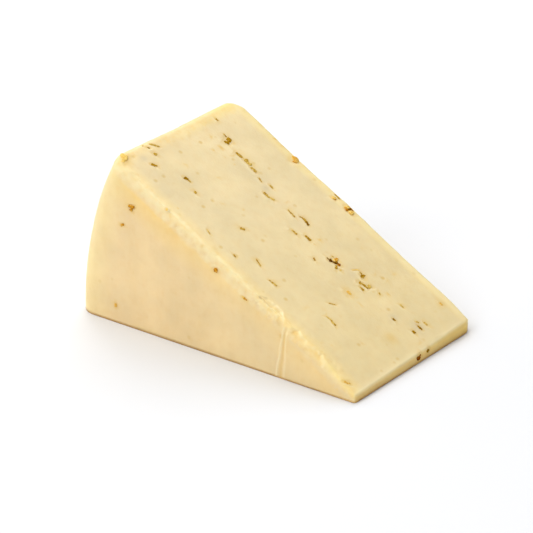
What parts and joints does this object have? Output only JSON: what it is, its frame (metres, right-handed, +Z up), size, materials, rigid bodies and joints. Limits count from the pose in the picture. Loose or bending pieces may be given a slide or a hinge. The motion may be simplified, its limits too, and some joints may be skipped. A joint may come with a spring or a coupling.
{
  "type": "cheese wedge",
  "caption": "Wedge of pale semi-soft herb cheese cut from a small round wheel, lying on one cut face, with its tip trimmed off.",
  "frame": {"origin": "on the base, in the middle of the bounding box", "axes": "+X from the wheel's rim to the tip of the wedge, +Y across the wheel's thickness, +Z up from the cut face it lies on"},
  "size_m": [0.1176, 0.07, 0.0602],
  "materials": {
    "cheese": "pale yellow cheese paste with a soft satin surface",
    "herbs": "dark olive brown herb flakes, cut flush with the cheese",
    "seeds": "golden brown seeds, a little glossy"
  },
  "bodies": {
    "root": {"cheese": "cheese"}
  },
  "joints": []
}
